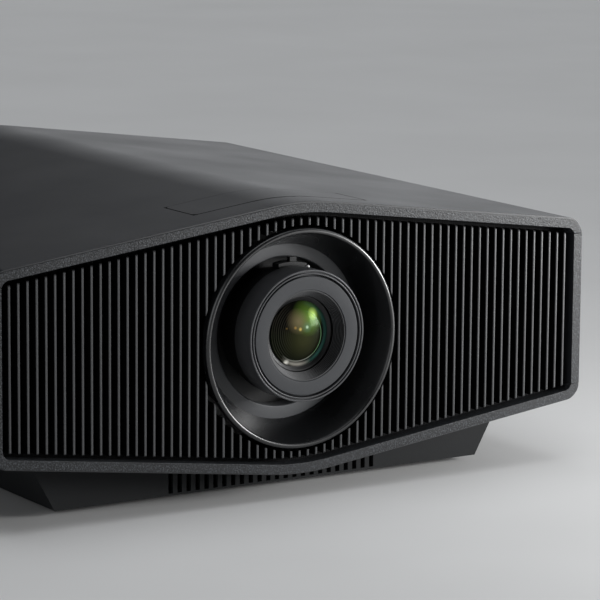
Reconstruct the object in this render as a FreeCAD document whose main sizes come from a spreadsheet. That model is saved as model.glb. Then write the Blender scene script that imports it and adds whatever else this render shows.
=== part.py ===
import FreeCAD, Part
import math
import os
import Sketcher

# Home cinema projector.  Millimetres, +Z up, +X to the right of the person facing the lens side,
# which looks along +Y.  The origin is under the middle of the object, on the surface it stands on.

DIMENSIONS = [
    # overall
    ("overall_width", 460, "casing, side to side"),
    ("overall_depth", 472, "lens front to rear panel"),
    ("lens_proud", 6.5, "lens stands this far in front of the bezel"),
    # casing section: a flat hexagon, drawn to its sharp corners
    ("ridge_z", 201.5, "sharp top of the roof"),
    ("keel_z", 15.2, "sharp bottom of the lower case"),
    ("roof_slope", 0.13, "rise per unit of width, roof and keel alike"),
    ("wall", 2.5, "casing wall"),
    ("corner_round", 11, "outside corners of the hexagon"),
    ("ridge_round", 180, "rounding along ridge and keel"),
    ("cover_foot_z", 161.6, "joint of top cover and side panels"),
    ("case_top_z", 55.3, "joint of lower case and side panels"),
    ("seam", 0.3, "gap at a visible joint"),
    # bezel
    ("bezel_depth", 12, "front to back"),
    ("band_side", 6.6, "width of the side bands"),
    ("opening_ridge_z", 194.15, "sharp top of the grille opening"),
    ("opening_keel_z", 22.2, "sharp bottom of the grille opening"),
    ("opening_round", 6, "corners of the grille opening"),
    ("lip_drop", 1.2, "band edge below the roof"),
    ("lip_depth", 0.8, "thin front lip of the band"),
    # grille
    ("slat_pitch", 6.572, "slat to slat"),
    ("slat_width", 1.6, "front face of a slat"),
    ("slat_depth", 9, "front to back"),
    ("slat_count", 67, "slats across the front"),
    ("slat_setback", 1.8, "slats behind the bezel face"),
    ("slat_end_gap", 3.4, "slat end to bezel"),
    # lens recess
    ("rim_z", 108.1, "centre of the recess rim"),
    ("rim_radius", 74.2, "outside of the rim"),
    ("rim_roll", 1.8, "radius of the rolled lip"),
    ("recess_depth", 25, "bezel face to shield ring"),
    ("shield_z", 109.3, "centre of the shield ring"),
    ("shield_outer", 59, "funnel radius at the shield ring"),
    ("shield_inner", 50.6, "hole the lens moves in"),
    # lens
    ("lens_z", 111.1, "optical axis at rest"),
    ("focus_radius", 44.4, "outside of the focus ring"),
    ("barrel_radius", 40, "outside of the barrel"),
    ("barrel_bore", 36, "inside of the barrel"),
    ("glass_radius", 22.2, "front lens"),
    ("glass_curve", 45, "front lens surface"),
    ("running", 0.05, "radial clearance of a running fit"),
    # base under the lower case
    ("base_setback", 36, "base front behind the bezel"),
    ("base_half_low", 167, "half width at the bottom"),
    ("base_half_high", 187, "half width where it meets the lower case"),
    ("base_z", 3.7, "underside above the table"),
    ("vent_pitch", 6.94, "base vent slots"),
    ("vent_width", 3.5, "base vent slots"),
    ("vent_count", 24, "base vent slots"),
    # lid over the shift dials
    ("lid_half", 67.5, "half width"),
    ("lid_setback", 27, "front edge behind the bezel"),
    ("lid_length", 39, "front to back"),
    ("lid_gap", 0.7, "gap at the front and sides of the lid"),
    ("well_floor_z", 182, "floor of the dial well"),
    # fans
    ("fan_x", 160, "fan axis from the middle"),
    ("fan_side", 92, "square housing"),
    ("fan_depth", 25, "housing, front to back"),
    # ceiling mount
    ("mount_x", 200, "mount holes, side to side"),
    ("mount_y", 220, "mount holes, front to back"),
    ("mount_hole_radius", 2.5, "mount holes"),
    # feet
    ("foot_x", 130, "front feet from the middle"),
    ("foot_radius", 16, "adjusting wheel"),
]

doc = FreeCAD.newDocument("HomeProjector")
sheet = doc.addObject("Spreadsheet::Sheet", "Dims")


class Size:
    """A length that remembers the sheet formula it came from."""

    def __init__(self, value, formula):
        self.value = value
        self.formula = formula

    def joined(self, sign, other, value):
        return Size(value, f"({self.formula} {sign} {formula_of(other)})")

    def __add__(self, other):
        return self.joined("+", other, self.value + value_of(other))

    def __sub__(self, other):
        return self.joined("-", other, self.value - value_of(other))

    def __mul__(self, other):
        return self.joined("*", other, self.value * value_of(other))

    def __truediv__(self, other):
        return self.joined("/", other, self.value / value_of(other))

    def __neg__(self):
        return Size(-self.value, f"(0 - {self.formula})")

    def __radd__(self, other):
        return Size(other, repr(float(other))) + self

    def __rsub__(self, other):
        return Size(other, repr(float(other))) - self

    def __rmul__(self, other):
        return self * other


def value_of(length):
    return length.value if isinstance(length, Size) else float(length)


def formula_of(length):
    return length.formula if isinstance(length, Size) else repr(float(length))


def fill_sheet():
    """Writes the driving dimensions and returns them by name."""
    sizes = {}
    for line, (name, value, meaning) in enumerate(DIMENSIONS, start=1):
        sheet.set(f"A{line}", meaning)
        sheet.set(f"B{line}", str(value))
        sheet.setAlias(f"B{line}", name)
        sizes[name] = Size(value, f"Dims.{name}")
    doc.recompute()
    return sizes


d = fill_sheet()
parts = {}

# Planes that most pieces are placed from.
half_width = d["overall_width"] / 2
rear = d["overall_depth"] / 2
lens_front = -rear
front = lens_front + d["lens_proud"]
wall = d["wall"]
slope = d["roof_slope"]
base_front = front + d["base_setback"]
running = d["running"]


# ---------------------------------------------------------------- building blocks


def bind(item, name, length):
    item.setExpression(name, formula_of(length))


def place(item, x, y, z):
    for letter, length in zip("xyz", (x, y, z)):
        bind(item, f"Placement.Base.{letter}", length)


def keep(label, item):
    """Makes an item a sub-part: its label is its name outside this document."""
    item.Label = label
    parts[label] = item
    return item


def box(x, y, z):
    """A block between three pairs of limits."""
    item = doc.addObject("Part::Box", "Block")
    for name, (low, high) in zip(("Length", "Width", "Height"), (x, y, z)):
        bind(item, name, high - low)
    place(item, x[0], y[0], z[0])
    return item


TURNS = {"x": ((0, 1, 0), 90), "y": ((1, 0, 0), -90), "z": ((0, 0, 1), 0)}


def rod(axis, centre, radius, low, high):
    """A cylinder along an axis, from low to high; centre gives the other two coordinates in order."""
    item = doc.addObject("Part::Cylinder", "Rod")
    vector, angle = TURNS[axis]
    item.Placement = FreeCAD.Placement(FreeCAD.Vector(), FreeCAD.Rotation(FreeCAD.Vector(*vector), angle))
    bind(item, "Radius", radius)
    bind(item, "Height", high - low)
    first, second = centre
    at = {"x": (low, first, second), "y": (first, low, second), "z": (first, second, low)}[axis]
    place(item, *at)
    return item


def fuse(*items):
    if len(items) == 1:
        return items[0]
    item = doc.addObject("Part::MultiFuse", "Joined")
    item.Shapes = list(items)
    return item


def cut(base, *tools):
    item = doc.addObject("Part::Cut", "Cut")
    item.Base = base
    item.Tool = fuse(*tools)
    return item


def common(first, second):
    item = doc.addObject("Part::Common", "Shared")
    item.Base = first
    item.Tool = second
    return item


def group(*items):
    """Separate solids that make one sub-part."""
    item = doc.addObject("Part::Compound", "Group")
    item.Links = list(items)
    return item


def tube(axis, centre, outer, inner, low, high):
    return cut(rod(axis, centre, outer, low, high), rod(axis, centre, inner, low - 1, high + 1))


def new_body(name):
    return doc.addObject("PartDesign::Body", name)


def sketch_on(body, role, offset=0):
    """A sketch on one of the body's own origin planes, moved along that plane's normal."""
    planes = {feature.Role: feature for feature in body.Origin.OriginFeatures}
    sketch = body.newObject("Sketcher::SketchObject", "Outline")
    sketch.AttachmentSupport = (planes[role], [""])
    sketch.MapMode = "FlatFace"
    bind(sketch, "AttachmentOffset.Base.z", offset)
    return sketch


def pin_point(sketch, geometry, point, position):
    """Fixes one point of a sketch by its two distances from the origin."""
    for kind, length in zip(("DistanceX", "DistanceY"), position):
        number = sketch.addConstraint(
            Sketcher.Constraint(kind, -1, 1, geometry, point, value_of(length)))
        sketch.setExpression(f"Constraints[{number}]", formula_of(length))


def polygon(sketch, corners):
    """A closed outline whose corners are placed from the sketch's origin."""
    start = sketch.GeometryCount
    count = len(corners)
    vectors = [FreeCAD.Vector(value_of(a), value_of(b), 0) for a, b in corners]
    for index in range(count):
        sketch.addGeometry(Part.LineSegment(vectors[index], vectors[(index + 1) % count]), False)
    for index in range(count):
        sketch.addConstraint(
            Sketcher.Constraint("Coincident", start + index, 2, start + (index + 1) % count, 1))
    for index, corner in enumerate(corners):
        pin_point(sketch, start + index, 1, corner)


def rectangle(sketch, across, up):
    (left, right), (low, high) = across, up
    polygon(sketch, [(left, low), (right, low), (right, high), (left, high)])


def pad(body, sketch, length, back=False):
    feature = body.newObject("PartDesign::Pad", "Pad")
    feature.Profile = sketch
    feature.Reversed = back
    bind(feature, "Length", length)
    body.Tip = feature
    return feature


def pocket(body, sketch, length, back=False):
    """Cuts a sketch through the body and makes sure that something was cut."""
    doc.recompute()
    before = body.Shape.Volume
    feature = body.newObject("PartDesign::Pocket", "Pocket")
    feature.Profile = sketch
    feature.Reversed = back
    bind(feature, "Length", length)
    body.Tip = feature
    doc.recompute()
    if body.Shape.Volume >= before:
        raise RuntimeError(f"the pocket in {body.Name} cuts nothing")
    return feature


def repeat(body, feature, sketch, axis, pitch, count):
    """Repeats a feature along a sketch axis."""
    pattern = body.newObject("PartDesign::LinearPattern", "Row")
    pattern.Originals = [feature]
    pattern.Direction = (sketch, [axis])
    bind(pattern, "Length", pitch * (count - 1))
    bind(pattern, "Occurrences", count)
    body.Tip = pattern
    return pattern


def pad_along_y(body, corners, low, high):
    """Pads an outline drawn in X and Z from one Y to another."""
    sketch = sketch_on(body, "XZ_Plane", -low)
    polygon(sketch, corners)
    return pad(body, sketch, high - low, back=True)


def round_edges(body, kind, radius, wanted):
    """Fillets or chamfers the edges that a test picks."""
    doc.recompute()
    base = body.Tip
    names = [f"Edge{number}" for number, edge in enumerate(base.Shape.Edges, start=1) if wanted(edge)]
    if not names:
        raise RuntimeError(f"no edge of {body.Name} to round")
    feature = body.newObject(f"PartDesign::{kind}", kind)
    feature.Base = (base, names)
    bind(feature, "Radius" if kind == "Fillet" else "Size", radius)
    body.Tip = feature
    return feature


def runs_along_y(edge, x):
    """True for a straight edge along Y at the given distance from the middle."""
    if len(edge.Vertexes) < 2:
        return False
    first, last = edge.Vertexes[0].Point, edge.Vertexes[-1].Point
    straight = abs(first.x - last.x) < 0.01 and abs(first.z - last.z) < 0.01
    return straight and abs(abs(first.x) - value_of(x)) < 0.02


def lies_in_plane(edge, y):
    """True for an edge whose ends are both at one Y."""
    return all(abs(vertex.Point.y - value_of(y)) < 0.01 for vertex in edge.Vertexes)


def turned(name, corners, centre_z, centre_x=0):
    """A ring or tube turned about an axis along Y; corners are (y, radius)."""
    body = new_body(name)
    sketch = sketch_on(body, "YZ_Plane")
    polygon(sketch, corners)
    feature = body.newObject("PartDesign::Revolution", "Turn")
    feature.Profile = sketch
    feature.ReferenceAxis = (sketch, ["H_Axis"])
    feature.Angle = 360
    body.Tip = feature
    place(body, centre_x, 0, centre_z)
    return body


def taper(low, low_z, low_radius, high, high_z, high_radius):
    """A solid cone along Y whose two ends may have different heights."""
    along = FreeCAD.Vector(0, 1, 0)
    ends = []
    for y, z, radius in ((low, low_z, low_radius), (high, high_z, high_radius)):
        centre = FreeCAD.Vector(0, value_of(y), value_of(z))
        ends.append(Part.Wire(Part.Edge(Part.Circle(centre, along, value_of(radius)))))
    item = doc.addObject("Part::Feature", "Taper")
    item.Shape = Part.makeLoft(ends, True)
    return item


# ---------------------------------------------------------------- casing


def hexagon_prism(name, low, high, top_z, bottom_z, half, corner_round):
    """The casing's section along Y: two upright sides, a low roof ridge and a keel, all rounded."""
    body = new_body(name)
    side_top = top_z - slope * half
    side_bottom = bottom_z + slope * half
    pad_along_y(body, [(-half, side_bottom), (0, bottom_z), (half, side_bottom),
                       (half, side_top), (0, top_z), (-half, side_top)], low, high)
    round_edges(body, "Fillet", corner_round, lambda edge: runs_along_y(edge, half))
    round_edges(body, "Fillet", d["ridge_round"], lambda edge: runs_along_y(edge, 0))
    return body


def inset_prism(name, low, high, inset):
    """The casing's section drawn in by a distance."""
    return hexagon_prism(name, low, high, d["ridge_z"] - inset, d["keel_z"] + inset,
                         half_width - inset, d["corner_round"] - inset)


def slab(low_z, high_z, x=(-300, 300)):
    """A block right through the object from front to back."""
    return box(x, (-300, 300), (low_z, high_z))


def slot_row(first_y, count, pitch, width, x, z):
    """Upright slots through a side wall."""
    return [box(x, (first_y + pitch * number, first_y + pitch * number + width), z)
            for number in range(count)]


terminals_y = (-70, 90)
terminals_z = (72, 134)
buttons_y = {"power_button": 118, "input_button": 136, "menu_button": 154}
buttons_z = 112
button_radius = 5
stick_x, stick_y = -222, 184
stick_hole, stick_pin = 9.6, 1
side_slot_z = (76, 140)


def stick_lugs():
    """Two lugs inside the side panel that hold the joystick's upright pins."""
    x = (-half_width + wall - 0.1, stick_x + 2)
    y = (stick_y - 2.5, stick_y + 2.5)
    return [box(x, y, (buttons_z + z, buttons_z + z + 3)) for z in (-12.8, 9.8)]


def case_floor_at(x):
    """Height of the lower case's inner face at a distance from the middle."""
    return d["keel_z"] + slope * x + wall + 0.03


def make_casing():
    """One hull, divided at its joints into a top cover, a lower case and two side panels."""
    start = front + d["lip_depth"]
    hull = cut(inset_prism("Hull", start, rear, 0), inset_prism("HullInside", start - 1, rear + 1, wall))
    lip = hexagon_prism("BezelLip", front, start - 0.1, d["ridge_z"] - d["lip_drop"],
                        d["keel_z"] + d["lip_drop"] / 2, half_width, d["corner_round"])
    ring = inset_prism("BezelRing", front + 0.3, front + d["bezel_depth"], wall + 0.1)
    opening = hexagon_prism("BezelOpening", front - 1, front + d["bezel_depth"] + 1,
                            d["opening_ridge_z"], d["opening_keel_z"],
                            half_width - d["band_side"], d["opening_round"])
    bezel = cut(fuse(lip, ring), opening)

    top = (d["cover_foot_z"], 300)
    middle = (d["case_top_z"], d["cover_foot_z"] - d["seam"])
    bottom = (-10, d["case_top_z"] - d["seam"])
    lid_front = front + d["lid_setback"]
    hatch = box((-d["lid_half"] - d["lid_gap"], d["lid_half"] + d["lid_gap"]),
                (lid_front - d["lid_gap"], lid_front + d["lid_length"]), top)
    keep("top_cover", cut(common(hull, slab(*top)), hatch))
    air_slots = [box((x, x + 8), (-126, -66), bottom) for x in range(-124, 124, 16)]
    keep("lower_case", cut(common(hull, slab(*bottom)), *air_slots))
    keep("bezel_upper", common(bezel, slab(*top)))
    keep("bezel_lower", common(bezel, slab(*bottom)))
    for side, label in ((-1, "left_side_panel"), (1, "right_side_panel")):
        limits = (-300, -200) if side < 0 else (200, 300)
        inner, outer = half_width - wall - 0.8, half_width - 0.4
        across = (-outer, -inner) if side < 0 else (inner, outer)
        tie = box(across, (front + 0.4, start + 0.6), middle)
        plate = fuse(common(hull, slab(*middle, limits)), common(bezel, slab(*middle, limits)), tie)
        through = (-240, -220) if side < 0 else (220, 240)
        if side > 0:
            openings = slot_row(40, 22, 7, 3, through, side_slot_z)
        else:
            openings = slot_row(-206, 17, 7, 3, through, side_slot_z)
            openings.append(box(through, terminals_y, terminals_z))
            openings.append(rod("x", (stick_y, buttons_z), stick_hole, *through))
            plate = fuse(plate, *stick_lugs())
            openings.append(rod("z", (stick_x, stick_y), stick_pin + running,
                                buttons_z - 20, buttons_z + 20))
            for y in buttons_y.values():
                openings.append(rod("x", (y, buttons_z), button_radius + 0.25, *through))
        keep(label, cut(plate, *openings))


def make_rear_panel():
    """Rear wall set inside the casing, with a field of air slots each side of the middle."""
    panel = inset_prism("RearPanel", rear - wall, rear, wall + 0.2)
    fields = [box((start + 7 * number, start + 7 * number + 3.4), (200, 260), (70, 146))
              for start, count in ((-192, 21), (48, 21)) for number in range(count)]
    keep("rear_panel", cut(panel, *fields))


foot_y = -150
foot_stud = 4
mount_centre_y = 20


def make_base():
    """The trapezoid tray under the keel, its slotted front plate, cups for the front feet."""
    low, high = d["base_half_low"], d["base_half_high"]
    floor = d["base_z"]
    lean = (high - low) / (d["keel_z"] + slope * high - floor)
    inner_low = low + lean * wall - 2.8
    inner_high = high - 2.8
    base_rear = rear - 12

    def top_at(x):
        return d["keel_z"] + slope * x

    tray = new_body("BaseTray")
    trough = [(-high, top_at(high)), (-low, floor), (low, floor), (high, top_at(high)),
              (inner_high, top_at(inner_high)), (inner_low, floor + wall),
              (-inner_low, floor + wall), (-inner_high, top_at(inner_high))]
    pad_along_y(tray, trough, base_front + wall, base_rear)
    closing = [(-high, top_at(high)), (-low, floor), (low, floor), (high, top_at(high)), (0, d["keel_z"])]
    pad_along_y(tray, closing, base_rear - wall, base_rear)
    cups = []
    drills = []
    for side in (-1, 1):
        centre = (d["foot_x"] * side, foot_y)
        cups.append(rod("z", centre, d["foot_radius"] + 4.5, floor, floor + 12))
        drills.append(rod("z", centre, d["foot_radius"] + 2, floor - 1, floor + 8.5))
        drills.append(rod("z", centre, foot_stud + 0.05, floor, floor + 20))
    for x_side in (-1, 1):
        for y_side in (-1, 1):
            centre = (d["mount_x"] / 2 * x_side, mount_centre_y + d["mount_y"] / 2 * y_side)
            cups.append(rod("z", centre, d["mount_hole_radius"] + 4, floor, floor + 10))
            drills.append(rod("z", centre, d["mount_hole_radius"], floor - 1, floor + 11))
    keep("base_tray", cut(fuse(tray, *cups), *drills))

    plate = new_body("BaseFront")
    pad_along_y(plate, closing, base_front, base_front + wall)
    slots = sketch_on(plate, "XZ_Plane", -(base_front - 1))
    first = -(d["vent_pitch"] * (d["vent_count"] - 1)) / 2
    rectangle(slots, (first - d["vent_width"] / 2, first + d["vent_width"] / 2), (floor + 1.4, 60))
    opening = pocket(plate, slots, 6)
    repeat(plate, opening, slots, "H_Axis", d["vent_pitch"], d["vent_count"])
    keep("base_front_grille", plate)



# ---------------------------------------------------------------- grille and lens recess


def slat(x, face, back):
    """One upright slat with a narrowed nose, longer than the opening is high."""
    half = d["slat_width"].value / 2
    nose = 0.45
    corners = [(x - half, back), (x - half, face + nose), (x - half + nose, face),
               (x + half - nose, face), (x + half, face + nose), (x + half, back)]
    outline = [FreeCAD.Vector(a, b, 18) for a, b in corners + corners[:1]]
    return Part.Face(Part.makePolygon(outline)).extrude(FreeCAD.Vector(0, 0, 180))


def make_grille():
    """Upright slats joined by bars behind them, trimmed to the opening and to the lens rim."""
    face = front + d["slat_setback"]
    back = face + d["slat_depth"]
    inset = d["slat_end_gap"]
    edge = hexagon_prism("GrilleEdge", face, back, d["opening_ridge_z"] - inset,
                         d["opening_keel_z"] + inset, half_width - d["band_side"] - inset,
                         d["opening_round"] / 2)
    round_edges(edge, "Chamfer", 0.9, lambda e: lies_in_plane(e, face))
    hole = rod("y", (0, d["rim_z"]), d["rim_radius"] + 2, face - 1, back + 1)
    field = cut(edge, hole)
    doc.recompute()

    pitch = d["slat_pitch"].value
    count = int(d["slat_count"].value)
    slats = [slat(pitch * (number - (count - 1) / 2), face.value, back.value) for number in range(count)]
    bar_depth, bar_height, bar_pitch = 2, 2.4, 25
    bar_y = back.value - bar_depth
    bars = [Part.makeBox(440, bar_depth, bar_height, FreeCAD.Vector(-220, bar_y, 34 + bar_pitch * number))
            for number in range(7)]
    hoop = tube("y", (0, d["rim_z"]), d["rim_radius"] + 4.6, d["rim_radius"] + 2, bar_y, back)
    doc.recompute()
    trimmed = [piece.common(field.Shape) for piece in bars + slats + [hoop.Shape]]
    grille = doc.addObject("Part::Feature", "Grille")
    grille.Shape = trimmed[0].multiFuse(trimmed[1:])
    keep("front_grille", grille)


def make_grille_screen():
    """The fine mesh behind the slats, as a thin sheet."""
    start = front + d["bezel_depth"] + 0.4
    sheet_body = inset_prism("GrilleScreen", start, start + 0.8, wall + 0.4)
    hole = rod("y", (0, d["rim_z"]), 80.5, start - 1, start + 2)
    keep("grille_screen", cut(sheet_body, hole))


def make_lens_surround():
    """Gloss funnel from the rolled rim back to the shield ring."""
    start = front + d["rim_roll"] - 0.9
    end = front + d["recess_depth"]
    inner = d["rim_radius"] - 2 * d["rim_roll"]
    outer_skin = taper(start, d["rim_z"], d["rim_radius"], end, d["shield_z"], d["shield_outer"] + 2.2)
    inner_skin = taper(start, d["rim_z"], inner, end, d["shield_z"], d["shield_outer"])
    flange = tube("y", (0, d["rim_z"]), 79, 66, front + 10.9, front + 12.2)
    lip = doc.addObject("Part::Torus", "Lip")
    lip.Placement = FreeCAD.Placement(FreeCAD.Vector(), FreeCAD.Rotation(FreeCAD.Vector(1, 0, 0), -90))
    bind(lip, "Radius1", d["rim_radius"] - d["rim_roll"])
    bind(lip, "Radius2", d["rim_roll"])
    place(lip, 0, start, d["rim_z"])
    throat = rod("y", (0, d["shield_z"]), d["shield_outer"], end - 1, end + 1)
    keep("lens_surround", cut(fuse(outer_skin, flange, lip), inner_skin, throat))


def make_light_shield():
    start = front + d["recess_depth"]
    hole, edge = d["shield_inner"], d["shield_outer"] + 1.8
    keep("light_shield_ring", turned("LightShield", [
        (start, hole + 0.6), (start, edge), (start + 2.2, edge), (start + 2.2, hole + 2),
        (start + 13, hole + 2), (start + 13, hole), (start + 0.6, hole)], d["shield_z"]))


# ---------------------------------------------------------------- lens


def make_lens():
    tip = lens_front
    barrel, bore = d["barrel_radius"], d["barrel_bore"]
    grip = d["focus_radius"]
    axis_z = d["lens_z"]
    keep("focus_ring", turned("FocusRing", [
        (tip, 42), (tip, 42.9), (tip + 0.6, 43), (tip + 0.6, 43.3), (tip, 43.4), (tip, grip - 0.4),
        (tip + 0.4, grip), (tip + 20, grip), (tip + 20, barrel + running),
        (tip + 5.2, barrel + running), (tip + 5.2, 41.7), (tip + 0.4, 41.7)], axis_z))
    keep("lens_front_trim", turned("FrontTrim", [
        (tip + 0.9, 30.7), (tip + 0.6, 31), (tip + 0.6, 41.2), (tip + 0.9, 41.5), (tip + 5, 41.5),
        (tip + 5, 30.7)], axis_z))
    steps = 9
    treads = []
    for number in range(steps):
        radius = 30.2 - 0.5 * number
        treads.append((tip + 1.2 + 0.9 * number, radius))
        treads.append((tip + 1.2 + 0.9 * number, radius - 0.5))
    baffle = treads + [(tip + 10, 25.7), (tip + 10, 30.6), (tip + 1.2, 30.6)]
    keep("lens_baffle", turned("Baffle", baffle, axis_z))
    keep("lens_barrel", turned("Barrel", [
        (tip + 5.1, 30.8), (tip + 5.1, barrel), (tip + 106, barrel), (tip + 106, bore),
        (tip + 10.5, bore), (tip + 10.5, 30.8)], axis_z))
    glass = d["glass_radius"]
    keep("glass_retainer", turned("Retainer", [
        (tip + 10.2, 24.9), (tip + 10.2, 25.5), (tip + 14, 25.5), (tip + 14, bore - running),
        (tip + 20, bore - running), (tip + 20, glass + 0.05),
        (tip + 11.4, glass + 0.05), (tip + 11.4, glass + 0.5)], axis_z))
    apex = tip + 5.4
    ball = doc.addObject("Part::Sphere", "GlassFace")
    bind(ball, "Radius", d["glass_curve"])
    place(ball, 0, apex + d["glass_curve"], axis_z)
    keep("front_lens", common(rod("y", (0, axis_z), glass, tip + 4, tip + 19), ball))
    make_zoom_ring(tip, axis_z)
    keep("zoom_lens_cell", turned("ZoomCell", [
        (tip + 62, 30), (tip + 62, bore - running), (tip + 80, bore - running), (tip + 80, 30)], axis_z))
    keep("zoom_lens", turned("ZoomLens", [
        (tip + 66, 0), (tip + 68, 20), (tip + 71, 29.9), (tip + 75, 29.9), (tip + 77, 20), (tip + 78, 0)],
        axis_z))
    keep("rear_lens", turned("RearLens", [
        (tip + 94, 0), (tip + 96, 22), (tip + 99, bore - 0.05), (tip + 104, bore - 0.05),
        (tip + 104, 0)], axis_z))
    keep("lens_shroud_disc", turned("Shroud", [
        (tip + 46, barrel), (tip + 46, 64.5), (tip + 47.6, 64.5), (tip + 47.6, 44), (tip + 52, 44),
        (tip + 52, barrel)], axis_z))


def make_zoom_ring(tip, axis_z):
    """Ring behind the focus ring, with a raised thumb lever at the top."""
    barrel = d["barrel_radius"]
    low, high = tip + 22, tip + 30
    ring = rod("y", (0, axis_z), 43.4, low, high)
    raised = rod("y", (0, axis_z), 46.6, low, high)
    pad_block = common(raised, box((-9, 13), (low, high), (axis_z, axis_z + 60)))
    lever = box((1, 6), (low + 2, high - 2), (axis_z + 42, axis_z + 49.5))
    bore = rod("y", (0, axis_z), barrel + running, low - 1, high + 1)
    keep("zoom_ring", cut(fuse(ring, pad_block, lever), bore))


# ---------------------------------------------------------------- lens shift


guide_x, guide_y, guide_radius = 66, -175, 4
cross_y, cross_radius = -159, 3
cross_rod_z = (66.5, 155.7)
dial_x, dial_radius, shaft_radius = 32, 11, 3


def make_shift_frames():
    """Fixed frame, a carriage that rises on upright rods, and one that crosses on level rods."""
    axis_z = d["lens_z"]
    mount_y = (-150, -144)
    carriage_y = (guide_y - 6.5, guide_y + 6.5)
    sides = (-1, 1)
    low, high = 40, 180
    plate = box((-85, 85), mount_y, (case_floor_at(85), high))
    arms = [box((guide_x * side - 9, guide_x * side + 9), (carriage_y[0], mount_y[0]), limits)
            for side in sides for limits in ((low, low + 6), (high - 5, high))]
    drills = [rod("z", (guide_x * side, guide_y), guide_radius, low - 1, high + 1) for side in sides]
    hole = rod("y", (0, axis_z), 54, mount_y[0] - 10, mount_y[1] + 4)
    keep("lens_mount_frame", cut(fuse(plate, *arms), hole, *drills))
    keep("vertical_guide_rods", group(*[
        rod("z", (guide_x * side, guide_y), guide_radius, low, high) for side in sides]))

    riser = box((-80, 80), carriage_y, (62, 168))
    ears = [box((side_x, side_x + 8), (carriage_y[1], cross_y + 6), (z - 6, z + 6))
            for side_x in (-80, 72) for z in cross_rod_z]
    opening = rod("y", (0, axis_z), 48, carriage_y[0] - 2, carriage_y[1] + 5)
    bores = [rod("z", (guide_x * side, guide_y), guide_radius + running, 50, high) for side in sides]
    nut = rod("z", (-dial_x, guide_y), shaft_radius + running, 120, high)
    seats = [rod("x", (cross_y, z), cross_radius, -90, 90) for z in cross_rod_z]
    keep("vertical_shift_frame", cut(fuse(riser, *ears), opening, nut, *bores, *seats))
    keep("horizontal_guide_rods", group(*[
        rod("x", (cross_y, z), cross_radius, -80, 80) for z in cross_rod_z]))

    carriage = box((-60, 60), (cross_y - 4.5, cross_y + 5), (58, 164))
    seat = rod("y", (0, axis_z), d["barrel_radius"], cross_y - 10, cross_y + 10)
    slides = [rod("x", (cross_y, z), cross_radius + running, -90, 90) for z in cross_rod_z]
    keep("horizontal_shift_frame", cut(carriage, seat, *slides))


def ring_of_rods(centre, reach, radius, count, low, high):
    """Upright rods spaced evenly round a centre, for cutting a grip."""
    rods = []
    for number in range(count):
        angle = 2 * math.pi * number / count
        rods.append(rod("z", (centre[0] + reach * math.cos(angle), centre[1] + reach * math.sin(angle)),
                        radius, low, high))
    return rods


def dial(x, shaft_end):
    """A ribbed knob on a shaft, with a dimple for a fingertip."""
    low = d["well_floor_z"] + 2.3
    centre = (x, guide_y)
    knob = rod("z", centre, dial_radius, low, low + 7)
    shaft = rod("z", centre, shaft_radius, shaft_end, low)
    dimple = rod("z", (x, guide_y - 6.2), 2.4, low + 5.8, low + 9)
    ribs = ring_of_rods(centre, dial_radius + 0.2, 0.7, 24, low - 1, low + 9)
    return cut(fuse(knob, shaft), dimple, *ribs)


def make_dials():
    keep("vertical_shift_dial", dial(-dial_x, 150))
    keep("horizontal_shift_dial", dial(dial_x, 175))
    floor = d["well_floor_z"]
    lid_front = front + d["lid_setback"]
    x = (-d["lid_half"] - 3, d["lid_half"] + 3)
    y = (lid_front - 3, lid_front + d["lid_length"] + 3)
    outer = box(x, y, (floor, 196))
    inner = box((x[0] + 2, x[1] - 2), (y[0] + 2, y[1] - 2), (floor + 2, 210))
    shafts = [rod("z", (dial_x * side, guide_y), shaft_radius + 0.3, floor - 1, floor + 3)
              for side in (-1, 1)]
    under_roof = new_body("UnderRoof")
    top = d["ridge_z"] - wall - 0.2
    half = 90
    pad_along_y(under_roof, [(-half, top - slope * half), (0, top - 1.7), (half, top - slope * half),
                             (half, 150), (-half, 150)], front, front + 150)
    keep("dial_well", common(cut(outer, inner, *shafts), under_roof))


hinge_z, hinge_inset, hinge_radius = 198.2, 4.5, 0.9


def make_lid():
    """A piece of the roof, hinged at its rear edge on a short barrel under the ridge."""
    body = new_body("Lid")
    half = d["lid_half"]
    start = front + d["lid_setback"]
    end = start + d["lid_length"] - 0.5
    thick = 2
    outer, inner = d["ridge_z"], d["ridge_z"] - thick
    corners = [(-half, outer - slope * half), (0, outer), (half, outer - slope * half),
               (half, inner - slope * half), (0, inner), (-half, inner - slope * half)]
    pad_along_y(body, corners, start, end)
    round_edges(body, "Fillet", d["ridge_round"], lambda edge: runs_along_y(edge, 0))
    corner = 4

    def upright(edge):
        points = [vertex.Point for vertex in edge.Vertexes]
        return len(points) == 2 and abs(points[0].x - points[1].x) < 0.01 and \
            abs(points[0].y - points[1].y) < 0.01 and abs(points[0].z - points[1].z) > 1 and \
            abs(abs(points[0].x) - half.value) < 0.01

    round_edges(body, "Fillet", corner, upright)
    barrel = rod("x", (start + d["lid_length"] - hinge_inset, hinge_z), hinge_radius, -7, 7)
    keep("lens_shift_lid", fuse(body, barrel))


# ---------------------------------------------------------------- optics, light source, cooling


def make_optics():
    axis_z = d["lens_z"] - 2
    shell = cut(box((-80, 80), (-126, 18), (58, 150)), box((-77, 77), (-123, 15), (61, 160)))
    legs = [box((x, x + 12), (y, y + 12), (case_floor_at(80), 58)) for x in (-80, 68) for y in (-126, 6)]
    port = rod("y", (0, axis_z), 34, -130, -120)
    light_port = rod("y", (0, axis_z), 14, 10, 20)
    keep("optical_housing", cut(fuse(shell, *legs), port, light_port))
    half = 14
    prism = (axis_z - half, axis_z + half)
    keep("cross_prism", box((-half, half), (-96, -68), prism))
    frames = [box((-20, 20), (-63, -58), (axis_z - 16, axis_z + 16)),
              box((-24, -19), (-102, -62), (axis_z - 16, axis_z + 16)),
              box((19, 24), (-102, -62), (axis_z - 16, axis_z + 16))]
    keep("imaging_panels", group(*frames))


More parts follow.
